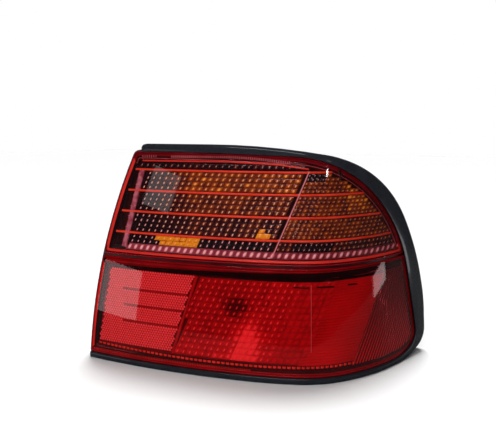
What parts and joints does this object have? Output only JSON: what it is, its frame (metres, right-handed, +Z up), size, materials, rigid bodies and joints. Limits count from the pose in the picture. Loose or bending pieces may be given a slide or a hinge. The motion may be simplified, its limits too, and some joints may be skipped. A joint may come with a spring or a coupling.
{
  "type": "tail light cluster",
  "caption": "Right-hand wrap-round tail light cluster: amber-backed and red lenses on a moulded housing, with black trim, bulbs, holders, seals and studs.",
  "frame": {"origin": "centre of the box that holds the lamp, at its foot", "axes": "+X outboard, +Y forward in the car, +Z up; the lenses face -Y and wrap round to +X"},
  "size_m": [0.2967, 0.2404, 0.2265],
  "materials": {
    "trim_black": "satin black moulded plastic",
    "lens_upper": "clear acrylic with a red rim and red ribs",
    "lens_red": "clear red acrylic",
    "seal_black": "moulded rubber",
    "amber": "clear amber acrylic",
    "reflex_red": "prismatic red acrylic",
    "housing_grey": "moulded black plastic",
    "sealant": "soft sealant",
    "reflector": "metallised plastic",
    "bulb_glass": "clear glass",
    "bulb_cap": "plated brass",
    "filament": "wire",
    "holder_black": "moulded plastic",
    "terminal": "stamped strip",
    "foam": "closed-cell foam",
    "stud_steel": "zinc plated steel"
  },
  "bodies": {
    "root": {"trim_frame": "trim_black", "upper_lens": "lens_upper", "lower_lens": "lens_red", "seam_seal": "seal_black", "amber_filter": "amber", "reflex_plate": "reflex_red", "housing": "housing_grey", "upper_lens_bead": "sealant", "lower_lens_bead": "sealant", "turn_reflector": "reflector", "stop_reflector": "reflector", "side_reflector": "reflector", "turn_bulb_glass": "bulb_glass", "stop_bulb_glass": "bulb_glass", "side_bulb_glass": "bulb_glass", "turn_bulb_cap": "bulb_cap", "stop_bulb_cap": "bulb_cap", "side_bulb_cap": "bulb_cap", "bulb_filaments": "filament", "turn_holder": "holder_black", "stop_holder": "holder_black", "side_holder": "holder_black", "turn_holder_seal": "seal_black", "stop_holder_seal": "seal_black", "side_holder_seal": "seal_black", "holder_terminals": "terminal", "body_gasket": "foam", "mounting_studs": "stud_steel", "vent_caps": "seal_black"}
  },
  "joints": []
}
